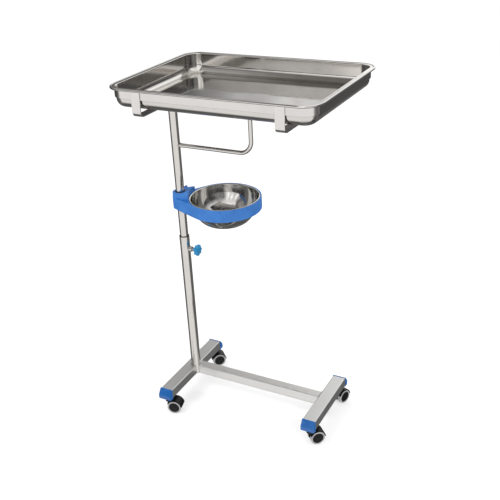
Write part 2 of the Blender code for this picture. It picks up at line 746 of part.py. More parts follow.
def bowl():
    outside = bowl_outside()
    inside = [(max(r - BOWL_SHEET, 0.034), z + BOWL_SHEET) for r, z in reversed(outside)]
    lip = [
        (outside[0][0] - BOWL_SHEET + 0.0008, BOWL_TOP - 0.0004), (outside[0][0] + 0.0020, BOWL_TOP),
        (BOWL_RIM - 0.0010, BOWL_TOP), (BOWL_RIM, BOWL_TOP - 0.0010), (BOWL_RIM - 0.0006, BOWL_TOP - 0.0024),
        (BOWL_RIM - 0.0022, BOWL_TOP - 0.0026), (outside[0][0] + 0.0030, BOWL_TOP - 0.0018),
    ]
    profile = [(0, inside[0][1])] + inside + lip + outside + [(0, outside[-1][1])]
    place(lathe(profile, 36, 40), "bowl", POLISHED, turned_about_column(RING_REACH, 0, 0))


for bar_place in BARS:
    crossbar(*bar_place)
spine()
end_caps()
casters()
column()
mast()
KNOB = knob_mesh()
lock_screw(KNOB)
ring_band()
straps()
cross_member()
brace()
tray()
ring_holder()
clamp_screw(KNOB)
bowl()
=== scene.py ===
"""Looks of an instrument stand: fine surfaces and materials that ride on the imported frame.

Metres, +Z up. Places come from the frame's own boxes and joints. The constants are the radii, wall
thicknesses and roundings of the pieces, and a screw's places along its own axis.
"""

import json
import math

import bmesh
import bpy
from mathutils import Matrix, Vector


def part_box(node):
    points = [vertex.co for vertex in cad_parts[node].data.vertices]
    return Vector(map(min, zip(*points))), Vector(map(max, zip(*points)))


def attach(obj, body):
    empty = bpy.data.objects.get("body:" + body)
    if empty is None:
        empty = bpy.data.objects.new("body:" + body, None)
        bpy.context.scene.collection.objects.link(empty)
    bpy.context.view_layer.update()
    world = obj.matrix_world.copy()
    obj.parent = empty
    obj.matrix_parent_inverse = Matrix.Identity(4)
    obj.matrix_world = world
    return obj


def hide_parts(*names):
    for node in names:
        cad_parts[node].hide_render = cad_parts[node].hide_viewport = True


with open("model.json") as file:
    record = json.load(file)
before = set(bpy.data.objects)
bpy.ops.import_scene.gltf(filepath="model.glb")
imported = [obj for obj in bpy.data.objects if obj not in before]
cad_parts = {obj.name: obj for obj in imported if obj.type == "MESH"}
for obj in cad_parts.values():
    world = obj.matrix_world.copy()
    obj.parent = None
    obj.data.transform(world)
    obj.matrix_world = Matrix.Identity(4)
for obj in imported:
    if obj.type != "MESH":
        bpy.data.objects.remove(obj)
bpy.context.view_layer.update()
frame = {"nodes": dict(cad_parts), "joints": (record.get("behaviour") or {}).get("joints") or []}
JOINTS = {joint["name"]: joint for joint in frame["joints"]}

GAP = 0.0003  # room between pieces that don't touch
SHEET = 0.001
TUBE_STEPS = 96
TUBE_WALL = 0.0012
LINER_BORE = 0.0128  # of the plastic bushes round the inner tube
BAR_WALL = 0.0015
BAR_CORNER = 0.0030
BAR_INNER_CORNER = 0.0015
SOCKET_HOLE = 0.0083  # radius of the hole under a bar for a caster's socket
CORNERS = [(bar, end) for bar in ("left", "right") for end in ("near", "far")]


# Places read from the frame


def low(node):
    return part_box(node)[0]


def high(node):
    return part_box(node)[1]


def middle(node):
    return (low(node) + high(node)) / 2


def across(node):
    return (high(node).x - low(node).x) / 2


AXIS = middle("column_tube").xy.to_3d()
FLOOR_Z = min(low(f"tread_{bar}_{end}_a").z for bar, end in CORNERS)


# Materials


class Graph:
    """A small helper that adds nodes to a material or a world and joins them."""

    def __init__(self, tree):
        self.tree = tree

    def add(self, kind, inputs=None, **settings):
        node = self.tree.nodes.new(kind)
        for key, value in settings.items():
            setattr(node, key, value)
        for key, value in (inputs or {}).items():
            if isinstance(value, bpy.types.NodeSocket):
                self.tree.links.new(value, node.inputs[key])
            else:
                node.inputs[key].default_value = value
        return node

    def math(self, operation, a, b=0.0):
        node = self.add("ShaderNodeMath", {0: a, 1: b}, operation=operation)
        return node.outputs[0]

    def noise(self, vector, scale, detail=3.0, roughness=0.55):
        inputs = {"Vector": vector, "Scale": scale, "Detail": detail, "Roughness": roughness}
        return self.add("ShaderNodeTexNoise", inputs).outputs["Fac"]

    def stretched(self, vector, scale):
        return self.add("ShaderNodeMapping", {"Vector": vector, "Scale": scale}).outputs["Vector"]

    def spread(self, value, start, end, to_low, to_high):
        inputs = {"Value": value, "From Min": start, "From Max": end, "To Min": to_low, "To Max": to_high}
        return self.add("ShaderNodeMapRange", inputs).outputs["Result"]

    def blend(self, factor, a, b):
        node = self.add("ShaderNodeMix", data_type="RGBA")
        for key, value in (("Factor", factor), ("A", a), ("B", b)):
            socket = [s for s in node.inputs if s.name == key and s.enabled][0]
            if isinstance(value, bpy.types.NodeSocket):
                self.tree.links.new(value, socket)
            elif key == "Factor":
                socket.default_value = value
            else:
                socket.default_value = (*value, 1.0)
        return [s for s in node.outputs if s.enabled][0]

    def bump(self, height, distance, strength=1.0, normal=None):
        inputs = {"Height": height, "Distance": distance, "Strength": strength}
        if normal is not None:
            inputs["Normal"] = normal
        return self.add("ShaderNodeBump", inputs).outputs["Normal"]


def new_material(name):
    made = bpy.data.materials.new(name)
    made.use_nodes = True
    return made, Graph(made.node_tree), made.node_tree.nodes["Principled BSDF"]


def metal(name, tint, dull, rough, brushing, wave=0.0, scratch=0.00001, anisotropic=0.0):
    """Bare metal: smudged and finely scratched along one way, brighter where edges are rubbed."""
    made, graph, shader = new_material(name)
    place = graph.add("ShaderNodeTexCoord").outputs["Object"]
    lines = graph.noise(graph.stretched(place, brushing), 1.0, 5.0, 0.6)
    smudge = graph.noise(place, 17.0, 4.0, 0.6)
    speck = graph.noise(place, 900.0, 2.0, 0.5)
    worn = graph.spread(graph.add("ShaderNodeNewGeometry").outputs["Pointiness"], 0.51, 0.58, 0.0, 1.0)
    mixed = graph.math("ADD", graph.math("MULTIPLY", lines, 0.5), graph.math("MULTIPLY", smudge, 0.5))
    colour = graph.blend(graph.spread(mixed, 0.35, 0.65, 0.0, 1.0), dull, tint)
    bright = tuple(min(1.0, c * 1.12) for c in tint)
    colour = graph.blend(graph.math("MULTIPLY", worn, 0.6), colour, bright)
    low_rough, high_rough = rough
    roughness = graph.spread(mixed, 0.35, 0.68, low_rough, high_rough)
    roughness = graph.math("ADD", roughness, graph.spread(speck, 0.6, 0.8, 0.0, 0.03))
    roughness = graph.math("ADD", roughness, graph.math("MULTIPLY", worn, 0.04))
    normal = graph.bump(lines, scratch, 0.6)
    if wave:
        normal = graph.bump(graph.noise(place, 7.0, 1.0, 0.4), wave, 1.0, normal)
    shader.inputs["Metallic"].default_value = 1.0
    shader.inputs["Anisotropic"].default_value = anisotropic
    graph.tree.links.new(colour, shader.inputs["Base Color"])
    graph.tree.links.new(roughness, shader.inputs["Roughness"])
    graph.tree.links.new(normal, shader.inputs["Normal"])
    return made


def plastic(name, tint, deep, rough, grain, depth, scuff=0.25, specular=0.5):
    """Moulded plastic or rubber: fine grain, uneven colour, scuffed and paler on its edges."""
    made, graph, shader = new_material(name)
    place = graph.add("ShaderNodeTexCoord").outputs["Object"]
    texture = graph.noise(place, grain, 2.0, 0.5)
    cloud = graph.noise(place, 28.0, 4.0, 0.6)
    marks = graph.noise(graph.stretched(place, (260.0, 40.0, 120.0)), 1.0, 6.0, 0.7)
    worn = graph.spread(graph.add("ShaderNodeNewGeometry").outputs["Pointiness"], 0.52, 0.60, 0.0, 1.0)
    marked = graph.math("MULTIPLY", graph.spread(marks, 0.62, 0.72, 0.0, 1.0), scuff)
    edge = graph.math("MULTIPLY", worn, graph.spread(cloud, 0.4, 0.6, 0.15, 0.5))
    colour = graph.blend(graph.spread(cloud, 0.35, 0.65, 0.0, 1.0), deep, tint)
    pale = tuple(min(1.0, c * 1.35 + 0.03) for c in tint)
    colour = graph.blend(graph.math("MAXIMUM", marked, edge), colour, pale)
    low_rough, high_rough = rough
    roughness = graph.spread(cloud, 0.3, 0.7, low_rough, high_rough)
    roughness = graph.math("ADD", roughness, graph.math("MULTIPLY", marked, 0.2))
    normal = graph.bump(texture, depth, 0.7)
    shader.inputs["Specular IOR Level"].default_value = specular
    graph.tree.links.new(colour, shader.inputs["Base Color"])
    graph.tree.links.new(roughness, shader.inputs["Roughness"])
    graph.tree.links.new(normal, shader.inputs["Normal"])
    return made


POLISHED = metal(
    "polished_sheet", (0.66, 0.64, 0.61), (0.58, 0.56, 0.54),
    (0.05, 0.12), (60, 60, 700), 0.0012
)
POLISHED_BAND = metal(
    "polished_band", (0.70, 0.67, 0.65), (0.62, 0.60, 0.58),
    (0.08, 0.17), (30, 30, 1500), 0.0003
)
POLISHED_TUBE = metal(
    "polished_tube", (0.68, 0.66, 0.63), (0.58, 0.55, 0.52),
    (0.07, 0.16), (900, 900, 25), 0.0002
)
SPUN = metal("spun_bowl", (0.60, 0.59, 0.57), (0.50, 0.49, 0.47), (0.05, 0.13), (90, 90, 1600), 0.0010)
BRUSHED_Y = metal(
    "brushed_along_y", (0.72, 0.72, 0.71), (0.62, 0.62, 0.61),
    (0.24, 0.38), (1300, 14, 1300), 0.0, 0.00003
)
BRUSHED_X = metal(
    "brushed_along_x", (0.70, 0.69, 0.67), (0.60, 0.59, 0.58),
    (0.22, 0.36), (14, 1300, 1300), 0.0, 0.00003
)
WELD = metal(
    "weld_metal", (0.55, 0.53, 0.50), (0.40, 0.38, 0.36),
    (0.25, 0.45), (700, 700, 700), 0.0, 0.0001
)
ZINC = metal(
    "zinc_plate", (0.62, 0.63, 0.64), (0.50, 0.51, 0.53),
    (0.22, 0.38), (500, 500, 500), 0.0, 0.00002
)
BLUE_CAP = plastic(
    "blue_cap_moulding", (0.008, 0.105, 0.340), (0.005, 0.080, 0.280),
    (0.10, 0.20), 1800, 0.00002, 0.2, 0.60
)
BLUE_RING = plastic(
    "blue_ring_moulding", (0.033, 0.170, 0.500), (0.026, 0.140, 0.440),
    (0.36, 0.48), 1500, 0.00005, 0.2, 0.35
)
BLUE_KNOB = plastic(
    "blue_knob_moulding", (0.012, 0.230, 0.470), (0.008, 0.170, 0.380),
    (0.22, 0.34), 1700, 0.00004
)
BLUE_DARK = plastic(
    "blue_clamp_moulding", (0.030, 0.110, 0.420), (0.022, 0.085, 0.350),
    (0.26, 0.38), 1700, 0.00004
)
BLACK = plastic(
    "black_moulding", (0.0045, 0.0045, 0.005), (0.003, 0.003, 0.0034),
    (0.36, 0.52), 1300, 0.00006, 0.08, 0.25
)
GREY_RUBBER = plastic(
    "grey_tread", (0.42, 0.42, 0.42), (0.33, 0.33, 0.33),
    (0.55, 0.72), 1100, 0.00008, 0.35
)
DARK_BUSH = plastic(
    "dark_bush", (0.022, 0.022, 0.024), (0.012, 0.012, 0.014),
    (0.42, 0.58), 1500, 0.00005, 0.15
)


# Shapes


def rotated(point, turn):
    c, s = math.cos(turn), math.sin(turn)
    return Vector((point.x * c - point.y * s, point.x * s + point.y * c))


def rounded(points, radii, steps=4, closed=True):
    """A flat outline with its corners replaced by arcs. radii is one number or one for each corner."""
    out = []
    count = len(points)
    for i, corner in enumerate(points):
        radius = radii[i] if isinstance(radii, (list, tuple)) else radii
        if radius == 0 or (not closed and i in (0, count - 1)):
            out.append(tuple(corner))
            continue
        here = Vector(corner)
        back, ahead = Vector(points[i - 1]) - here, Vector(points[(i + 1) % count]) - here
        half = back.angle(ahead) / 2
        cut = min(radius / math.tan(half), 0.49 * back.length, 0.49 * ahead.length)
        back.normalize()
        ahead.normalize()
        centre = here + (back + ahead).normalized() * (cut / math.cos(half))
        start, end = here + back * cut - centre, here + ahead * cut - centre
        sweep = math.atan2(start.x * end.y - start.y * end.x, start.dot(end))
        for step in range(steps + 1):
            out.append(tuple(centre + rotated(start, sweep * step / steps)))
    return out


def loft(rings, closed=False):
    """A mesh through rings of points. A ring of one point is a pole, and open ends are capped."""
    work = bmesh.new()
    made = [[work.verts.new(point) for point in ring] for ring in rings]
    pairs = list(zip(made, made[1:])) + ([(made[-1], made[0])] if closed else [])
    for first, second in pairs:
        count = max(len(first), len(second))
        for i in range(count):
            j = (i + 1) % count
            corners = [first[i % len(first)], first[j % len(first)]]
            corners += [second[j % len(second)], second[i % len(second)]]
            face = list(dict.fromkeys(corners))
            if len(face) > 2:
                work.faces.new(face)
    if not closed:
        for ring in (made[0], made[-1]):
            if len(ring) > 2:
                work.faces.new(ring)
    bmesh.ops.recalc_face_normals(work, faces=work.faces)
    mesh = bpy.data.meshes.new("shape")
    work.to_mesh(mesh)
    work.free()
    return bpy.data.objects.new("shape", mesh)


def circle(radius, height, steps):
    if radius == 0:
        return [(0, 0, height)]
    turns = [2 * math.pi * i / steps for i in range(steps)]
    return [(radius * math.cos(t), radius * math.sin(t), height) for t in turns]


def turned(profile, steps=TUBE_STEPS):
    """(radius, height) points turned about Z; closed on itself unless it starts and ends on the axis."""
    rings = [circle(radius, height, steps) for radius, height in profile]
    return loft(rings, closed=profile[0][0] != 0)


def rod_profile(radius, bottom, top, edge):
    body = rounded([(0, top), (radius, top), (radius, bottom), (0, bottom)], edge, 3, closed=False)
    return body


def tube_profile(outer, bore, bottom, top, edge):
    return rounded([(bore, top), (outer, top), (outer, bottom), (bore, bottom)], edge, 3)


def round_corners(half_x, half_y, radius, steps):
    """Points of a rounded rectangle, anticlockwise, with the same count whatever its size."""
    points = []
    for quarter, (sx, sy) in enumerate(((1, 1), (-1, 1), (-1, -1), (1, -1))):
        for step in range(steps + 1):
            turn = (quarter + step / steps) * math.pi / 2
            x = sx * (half_x - radius) + radius * math.cos(turn)
            y = sy * (half_y - radius) + radius * math.sin(turn)
            points.append((x, y))
    return points


def plate(outline, depth, edge=0.0, segments=2):
    """A flat outline in XY, given a depth either side of z = 0, with rounded edges."""
    obj = loft([[(x, y, z) for x, y in outline] for z in (-depth / 2, depth / 2)])
    if edge:
        bevel(obj, edge, segments)
    return obj


def bevel(obj, width, segments=2, angle=40):
    step = obj.modifiers.new("edges", "BEVEL")
    step.width = width
    step.segments = segments
    step.limit_method = "ANGLE"
    step.angle_limit = math.radians(angle)
    step.harden_normals = False
    return obj


def baked(obj):
    """The object with its modifiers applied."""
    bpy.context.scene.collection.objects.link(obj)
    bpy.context.view_layer.update()
    graph = bpy.context.evaluated_depsgraph_get()
    mesh = bpy.data.meshes.new_from_object(obj.evaluated_get(graph))
    bpy.data.objects.remove(obj)
    return bpy.data.objects.new("shape", mesh)


def moved(obj, matrix):
    obj.data.transform(matrix)
    return obj


def join(base, adds=(), cuts=()):
    """Boolean union of base and adds, less the cuts."""
    bpy.context.scene.collection.objects.link(base)
    helpers = [(piece, "UNION") for piece in adds] + [(piece, "DIFFERENCE") for piece in cuts]
    for piece, operation in helpers:
        bpy.context.scene.collection.objects.link(piece)
        step = base.modifiers.new("join", "BOOLEAN")
        step.operation = operation
        step.solver = "EXACT"
        step.object = piece
    bpy.context.view_layer.update()
    graph = bpy.context.evaluated_depsgraph_get()
    mesh = bpy.data.meshes.new_from_object(base.evaluated_get(graph))
    for piece in [base] + [piece for piece, _ in helpers]:
        bpy.data.objects.remove(piece)
    return bpy.data.objects.new("shape", mesh)


def put(obj, node, look, body, angle=35, replaced=None):
    """Names a piece after the CAD node that it stands for, finishes its surface and lets it ride."""
    obj.name = f"{node}_surface"
    bpy.context.scene.collection.objects.link(obj)
    obj.data.materials.clear()
    obj.data.materials.append(look)
    obj.data.shade_smooth()
    obj.data.set_sharp_from_angle(angle=math.radians(angle))
    normals = obj.modifiers.new("normals", "WEIGHTED_NORMAL")
    normals.keep_sharp = True
    normals.weight = 60
    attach(obj, body)
    for name in (replaced or [node]):
        if name in frame["nodes"]:
            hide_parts(name)
    return obj


def along(direction, origin):
    """A matrix that carries +Z onto a direction, from the origin given."""
    turn = Vector(direction).to_track_quat("Z", "Y").to_matrix().to_4x4()
    return Matrix.Translation(origin) @ turn


# Tray and cradle

TRAY_CORNER = 0.050
BEAD = 0.0032
WALL_INSET = 0.0145
TRAY_FILLET = 0.022
CORNER_STEPS = 20
BAND_INSET = 0.011  # from the tray's edge in to the cradle ring
FLAT_THICKNESS = 0.003
FLAT_EDGE = 0.0006
STRAP_BEND = 0.014
BRACE_RADIUS = 0.006
BRACE_BEND = 0.036


def ring_of(half_x, half_y, corner, inset, z, centre):
    points = round_corners(half_x - inset, half_y - inset, max(corner - inset, 0.001), CORNER_STEPS)
    return [(centre.x + x, centre.y + y, z) for x, y in points]


def tray():
    """Pressed sheet: a flat floor, a wide fillet, a near-upright wall, a flange and a rolled bead."""
    bottom, top = low("tray"), high("tray")
    half_x, half_y = across("tray"), (top.y - bottom.y) / 2
    under = bottom.z
    foot, fillet_z = WALL_INSET + TRAY_FILLET, under + TRAY_FILLET
    turns = [math.radians(90 * i / 14) for i in range(15)]
    inner = TRAY_FILLET - SHEET
    section = [(foot + 0.030, under + SHEET), (foot + 0.006, under + SHEET)]
    section += [(foot - inner * math.sin(t), fillet_z - inner * math.cos(t)) for t in turns]
    flange = top.z - 0.0010
    lip = [
        (WALL_INSET + SHEET, flange - 0.0060), (WALL_INSET + SHEET, flange),
        (2 * BEAD - 0.0006, flange),
    ]
    section += rounded([section[-1]] + lip, [0, 0, 0.0024, 0], 6, closed=False)[1:]
    bead_z = top.z - BEAD
    for i in range(19):
        t = math.radians(48 + 268 * i / 18)
        section.append((BEAD + BEAD * math.cos(t), bead_z + BEAD * math.sin(t)))
    below = flange - SHEET
    lower = [(2 * BEAD + 0.0002, below), (WALL_INSET, below), (WALL_INSET, below - 0.0050)]
    section += rounded(lower, [0, 0.0014, 0], 4, closed=False)
    section += [(foot - TRAY_FILLET * math.cos(t), fillet_z - TRAY_FILLET * math.sin(t)) for t in turns]
    section += [(foot + 0.006, under), (foot + 0.030, under)]
    centre = middle("tray")
    rings = [ring_of(half_x, half_y, TRAY_CORNER, inset, z, centre) for inset, z in section]
    put(loft(rings), "tray", POLISHED, "tray", 50)


def cradle():
    """The flat-bar ring, the two straps bent under the tray, the cross member and the rod brace."""
    bottom, top = low("cradle_ring"), high("cradle_ring")
    half_x, half_y = across("cradle_ring"), (top.y - bottom.y) / 2
    corner, thick = TRAY_CORNER - BAND_INSET, FLAT_THICKNESS
    section = rounded([(0, top.z), (thick, top.z), (thick, bottom.z), (0, bottom.z)], 0.0007, 3)
    centre = middle("cradle_ring")
    rings = [ring_of(half_x, half_y, corner, inset, z, centre) for inset, z in section]
    put(loft(rings, closed=True), "cradle_ring", POLISHED_BAND, "mast")
    for node in ("strap_left", "strap_right"):
        strap(node)
    member()
    brace()


def strap(node):
    bottom, top = low(node), high(node)
    half, thick, bend = (top.y - bottom.y) / 2, FLAT_THICKNESS, STRAP_BEND
    outer = [(half, top.z), (half, bottom.z), (-half, bottom.z), (-half, top.z)]
    inner = [(-half + thick, top.z), (-half + thick, bottom.z + thick)]
    inner += [(half - thick, bottom.z + thick), (half - thick, top.z)]
    radii = [0, bend, bend, 0, 0, bend - thick, bend - thick, 0]
    outline = rounded(outer + inner, radii, 10)
    obj = baked(plate(outline, top.x - bottom.x, FLAT_EDGE))
    turn = Matrix.Rotation(math.pi / 2, 4, "Z") @ Matrix.Rotation(math.pi / 2, 4, "X")
    moved(obj, Matrix.Translation((middle(node).x, 0, 0)) @ turn)
    put(obj, node, POLISHED_BAND, "mast")


def member():
    centre, size = middle("cross_member"), high("cross_member") - low("cross_member")
    outline = round_corners(size.x / 2, size.y / 2, 0.008, 8)
    obj = baked(plate(outline, size.z, FLAT_EDGE))
    put(moved(obj, Matrix.Translation(centre)), "cross_member", POLISHED_BAND, "mast")


def swept(path, radius, steps=32, radius_at=None):
    """A round rod along a flat path given as points in 3D; the path lies in a plane."""
    rings = []
    normal = None
    for i, point in enumerate(path):
        here = Vector(point)
        ahead = Vector(path[min(i + 1, len(path) - 1)]) - Vector(path[max(i - 1, 0)])
        ahead.normalize()
        side = normal if normal is not None else ahead.orthogonal().normalized()
        side = (side - ahead * side.dot(ahead)).normalized()
        normal = side
        up = ahead.cross(side)
        r = radius * (radius_at(i) if radius_at else 1.0)
        turns = [2 * math.pi * k / steps for k in range(steps)]
        rings.append([tuple(here + side * r * math.cos(t) + up * r * math.sin(t)) for t in turns])
    return rings


def brace():
    bottom, top = low("brace_rod"), high("brace_rod")
    radius, bend = BRACE_RADIUS, BRACE_BEND
    z, x = bottom.z + radius, top.x - radius
    corner = [(bottom.x, z), (x, z), (x, top.z)]
    path = rounded(corner, bend, 20, closed=False)
    rings = swept([(a, 0, b) for a, b in path], radius)
    put(loft(rings), "brace_rod", POLISHED_TUBE, "mast")
    weld_bead("brace_weld", Vector((bottom.x - 0.0001, 0, z)), (1, 0, 0), radius + 0.0006, 0.0011, "mast")


def box_between(start, end):
    """A plain block between two opposite corners."""
    outline = [(start.x, start.y), (end.x, start.y), (end.x, end.y), (start.x, end.y)]
    return moved(plate(outline, end.z - start.z), Matrix.Translation((0, 0, (start.z + end.z) / 2)))


def weld_bead(name, centre, direction, radius, size, body, steps=72, cuts=()):
    """A rippled bead of weld round a rod or a tube."""
    rings = []
    for i in range(steps):
        t = 2 * math.pi * i / steps
        r = size * (1 + 0.16 * math.sin(t * 24))
        ring = []
        for k in range(10):
            a = 2 * math.pi * k / 10
            reach = radius + r * math.cos(a)
            ring.append((reach * math.cos(t), reach * math.sin(t), r * math.sin(a)))
        rings.append(ring)
    obj = moved(loft(rings, closed=True), along(direction, centre))
    if cuts:
        obj = join(obj, cuts=cuts)
    put_extra(obj, name, WELD, body)


def put_extra(obj, name, look, body, angle=60):
    obj.name = name
    bpy.context.scene.collection.objects.link(obj)
    obj.data.materials.append(look)
    obj.data.shade_smooth()
    obj.data.set_sharp_from_angle(angle=math.radians(angle))
    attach(obj, body)
    return obj


# Column


def column():
    bottom, top = low("column_tube").z, high("column_tube").z
    radius = across("column_tube")
    pipe = turned(tube_profile(radius, radius - TUBE_WALL, bottom, top, 0.0005))
    hole = turned(rod_profile(SCREW_BORE, 0.005, 0.03, 0.0))
    moved(hole, along((1, 0, 0), (0, 0, middle("lock_boss").z)))
    pipe = join(pipe, cuts=[hole])
    put(moved(pipe, Matrix.Translation(AXIS)), "column_tube", POLISHED_TUBE, "base")
    bars_top, corner = high("spine_bar").z, Vector((low("spine_bar").x, low("spine_bar").y, 0))
    open_side = box_between(corner + Vector((0, -0.05, 0)), corner + Vector((0.05, 0, bars_top + 0.01)))
    foot = AXIS + Vector((0, 0, bars_top))
    weld_bead("column_weld", foot, (0, 0, 1), radius + 0.0012, 0.0010, "base", 120, [open_side])
    bush()
    bottom, top = low("mast_tube").z, high("mast_tube").z
    radius = across("mast_tube")
    pipe = turned(tube_profile(radius, radius - TUBE_WALL, bottom, top, 0.0003))
    put(moved(pipe, Matrix.Translation(AXIS)), "mast_tube", POLISHED_TUBE, "mast")


def bush():
    top, mouth = high("guide_bush").z, high("column_tube").z
    foot = low("guide_bush").z
    radius, bore = across("guide_bush"), LINER_BORE
    shank, shoulder = 0.0135, mouth + GAP
    profile = [(bore, top), (radius, top), (radius, shoulder), (shank, shoulder), (shank, foot), (bore, foot)]
    obj = turned(rounded(profile, [0.0003, 0.0006, 0.0002, 0, 0.0003, 0.0002], 4))
    put(moved(obj, Matrix.Translation(AXIS)), "guide_bush", DARK_BUSH, "base")


def liner():
    bottom, top = low("ring_liner").z, high("ring_liner").z
    obj = turned(tube_profile(across("ring_liner"), LINER_BORE, bottom, top, 0.0005))
    put(moved(obj, Matrix.Translation(AXIS)), "ring_liner", DARK_BUSH, "ring_slide")


# Screws and knobs

LOBES = 7
KNOB_RADIUS = 0.0155
KNOB_WAVE = 0.0022
KNOB_NECK = 0.0055
KNOB_NECK_RADIUS = 0.0070
KNOB_SOCKET = 0.0115  # depth of the blind hole for the stud
KNOB_DEPTH = 0.0190
STUD_IN_KNOB = 0.0110
STUD_RADIUS = 0.0040
PAD_RADIUS = 0.0042

# Distances from the column's axis, along each screw
LOCK_KNOB_START = 0.0310
LOCK_STUD_START = 0.0173
LOCK_PAD_SPAN = (0.0130, 0.0170)
CLAMP_KNOB_START = 0.0440
CLAMP_STUD_START = 0.0193
CLAMP_PAD_SPAN = (0.0160, 0.0190)


def knob():
    """A seven-lobed hand knob about Z on a round neck, with a blind hole for its stud."""
    stud, neck, top = STUD_RADIUS + GAP, KNOB_NECK_RADIUS, KNOB_DEPTH
    profile = [(0, KNOB_SOCKET, 0), (stud, KNOB_SOCKET, 0), (stud, 0.0, 0)]
    profile += [(neck - 0.0005, 0.0, 0), (neck, 0.0005, 0), (neck, KNOB_NECK - 0.0008, 0)]
    under = [(0.04, 0.0002), (0.30, 0.0004), (0.62, 0.0006), (0.86, 0.0010), (0.95, 0.0017), (0.99, 0.0027)]
    under.append((1.0, 0.0040))
    profile += [(neck + (KNOB_RADIUS - neck) * share, KNOB_NECK + z, share) for share, z in under]
    side = [(1.0, 0.0065), (1.0, 0.0090), (0.985, 0.0104), (0.955, 0.0113), (0.90, 0.0121), (0.82, 0.0126)]
    profile += [(KNOB_RADIUS * share, KNOB_NECK + z, share ** 2) for share, z in side]
    dome = [(0.70, 0.0129), (0.56, 0.0131), (0.46, 0.0131), (0.42, 0.0128), (0.38, 0.0128)]
    dome += [(0.35, 0.0132), (0.20, 0.0134)]
    profile += [(KNOB_RADIUS * share, KNOB_NECK + z, max(0.0, share - 0.45)) for share, z in dome]
    profile.append((0, top, 0))
    steps = LOBES * 24
    rings = []
    for radius, z, wavy in profile:
        if radius == 0:
            rings.append([(0, 0, z)])
            continue
        ring = []
        for i in range(steps):
            t = 2 * math.pi * i / steps
            swell = math.cos(LOBES * t)
            swell = swell - 0.22 * (1 - swell * swell)
            r = radius + KNOB_WAVE * wavy * swell
            ring.append((r * math.cos(t), r * math.sin(t), z))
        rings.append(ring)
    return loft(rings)


def threaded(radius, bottom, top, pitch=0.00125, depth=0.0005, steps=36):
    """A stud with a helical thread and chamfered tips."""
    count = int((top - bottom) / pitch * 8)
    rings = [[(0, 0, bottom)]]
    for i in range(count + 1):
        z = bottom + (top - bottom) * i / count
        tip = min(1.0, min(z - bottom, top - z) / 0.0008)
        ring = []
        for k in range(steps):
            t = 2 * math.pi * k / steps
            phase = (z / pitch - k / steps) % 1.0
            r = radius - depth * abs(2 * phase - 1) - 0.0006 * (1 - tip)
            ring.append((r * math.cos(t), r * math.sin(t), z))
        rings.append(ring)
    rings.append([(0, 0, top)])
    return loft(rings)


def screw(prefix, body, direction, knob_start, stud_start, pad_span, pad_body):
    """Knob, stud and brake pad along a direction from the column's axis."""
    centre = AXIS + Vector((0, 0, middle(f"{prefix}_stud").z))
    there = along(direction, centre)
    grip = moved(knob(), there @ Matrix.Translation((0, 0, knob_start)))
    look, slot = (BLUE_KNOB, "blue_knob_plastic") if prefix == "lock" else (BLUE_DARK, "blue_knob_plastic")
    put(grip, f"{prefix}_knob", look, body, 40)
    stud = moved(threaded(STUD_RADIUS, stud_start, knob_start + STUD_IN_KNOB), there)
    put(stud, f"{prefix}_stud", ZINC, body, 50)
    pad = moved(turned(rod_profile(PAD_RADIUS, *pad_span, 0.0005), 48), there)
    put(pad, f"{prefix}_pad", DARK_BUSH, pad_body)


def boss():
    centre = AXIS + Vector((0, 0, middle("lock_boss").z))
    reach = high("lock_boss").x - AXIS.x
    outside = 0.0080
    obj = turned(tube_profile(outside, SCREW_BORE, 0.0143, reach, 0.0006), 64)
    moved(obj, along((1, 0, 0), centre))
    put(obj, "lock_boss", POLISHED_TUBE, "base")
    weld_bead("boss_weld", centre + Vector((0.0152, 0, 0)), (1, 0, 0), 0.0083, 0.0009, "base")


# Bowl and its ring

BOWL_SHEET = 0.0008


def bowl():
    bottom, top = low("bowl"), high("bowl")
    rim, depth, foot = across("bowl"), top.z - bottom.z, 0.036
    upper = rim - 0.0047
    outside = []
    for i in range(33):
        t = math.pi / 2 * i / 32
        r = foot + (upper - foot) * math.cos(t) ** 0.9
        z = top.z - 0.003 - (depth - 0.003) * math.sin(t) ** 1.15
        outside.append((r, z))
    inside = [(max(r - BOWL_SHEET, 0.034), z + BOWL_SHEET) for r, z in reversed(outside)]
    lip = [
        (upper - BOWL_SHEET + 0.0003, top.z - 0.0014), (upper + 0.0006, top.z - 0.0003),
        (upper + 0.0018, top.z), (rim - 0.0014, top.z), (rim - 0.0005, top.z - 0.0004),
        (rim, top.z - 0.0012), (rim - 0.0003, top.z - 0.0020), (rim - 0.0009, top.z - 0.0025),
        (rim - 0.0018, top.z - 0.0026), (upper + 0.0018, top.z - 0.0014), (upper + 0.0008, top.z - 0.0018),
    ]
    profile = [(0, inside[0][1])] + inside + lip + outside + [(0, outside[-1][1])]
    obj = turned(profile, 144)
    centre = middle("bowl")
    put(moved(obj, Matrix.Translation((centre.x, centre.y, 0))), "bowl", SPUN, "bowl", 60)


RING_BORE = 0.1000
RING_SEAT = 0.1042
RING_OUTER = 0.1080
RING_HEIGHT = 0.0355
SEAT_DEPTH = 0.0032
COLLAR_RADIUS = 0.0235
BLOCK_START = 0.010
BLOCK_REACH = 0.040
BLOCK_RADIUS = 0.041
LINER_ROOM = 0.0158
SCREW_BORE = 0.0046


def tear_outline(small, large, reach, small_steps, large_steps):
    """Two circles wrapped by their common tangents: one at the origin, one at a reach along X."""
    lean = math.asin((large - small) / reach)
    start, end = math.pi / 2 + lean, 3 * math.pi / 2 - lean
    points = []
    for step in range(small_steps + 1):
        turn = start + (end - start) * step / small_steps
        points.append((small * math.cos(turn), small * math.sin(turn)))
    for step in range(large_steps + 1):
        turn = end + (2 * math.pi - (end - start)) * step / large_steps
        points.append((reach + large * math.cos(turn), large * math.sin(turn)))
    return points


